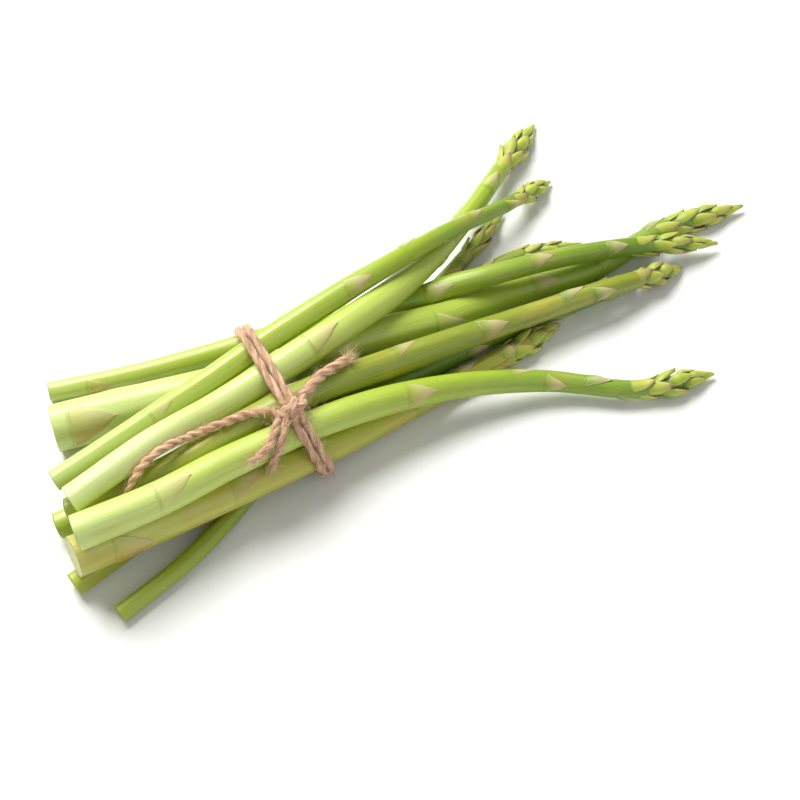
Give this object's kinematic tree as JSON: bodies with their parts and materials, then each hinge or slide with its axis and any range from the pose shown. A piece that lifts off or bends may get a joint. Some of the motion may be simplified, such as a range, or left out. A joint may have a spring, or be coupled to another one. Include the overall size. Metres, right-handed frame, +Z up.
{
  "type": "bundle of asparagus",
  "caption": "Small bunch of green asparagus spears lying down, fanned out at the tips and tied near the butts with doubled jute string and one knot.",
  "frame": {"origin": "on the surface the bundle lies on, under the middle of its outline", "axes": "+X towards the tips along the bundle's longer side, +Y towards the back, +Z up from the surface"},
  "size_m": [0.2398, 0.2162, 0.0342],
  "materials": {
    "spear_green": "satin",
    "spear_pale": "satin",
    "jute": "matte"
  },
  "bodies": {
    "root": {"spear_01": "spear_green", "spear_02": "spear_pale", "spear_03": "spear_green", "spear_04": "spear_pale", "spear_05": "spear_green", "spear_06": "spear_pale", "spear_07": "spear_pale", "spear_08": "spear_green", "spear_09": "spear_green", "spear_10": "spear_green", "twine_band_left": "jute", "twine_band_right": "jute", "twine_knot": "jute", "twine_tail_long": "jute", "twine_tail_right": "jute", "twine_end_front_a": "jute", "twine_end_front_b": "jute"}
  },
  "joints": []
}
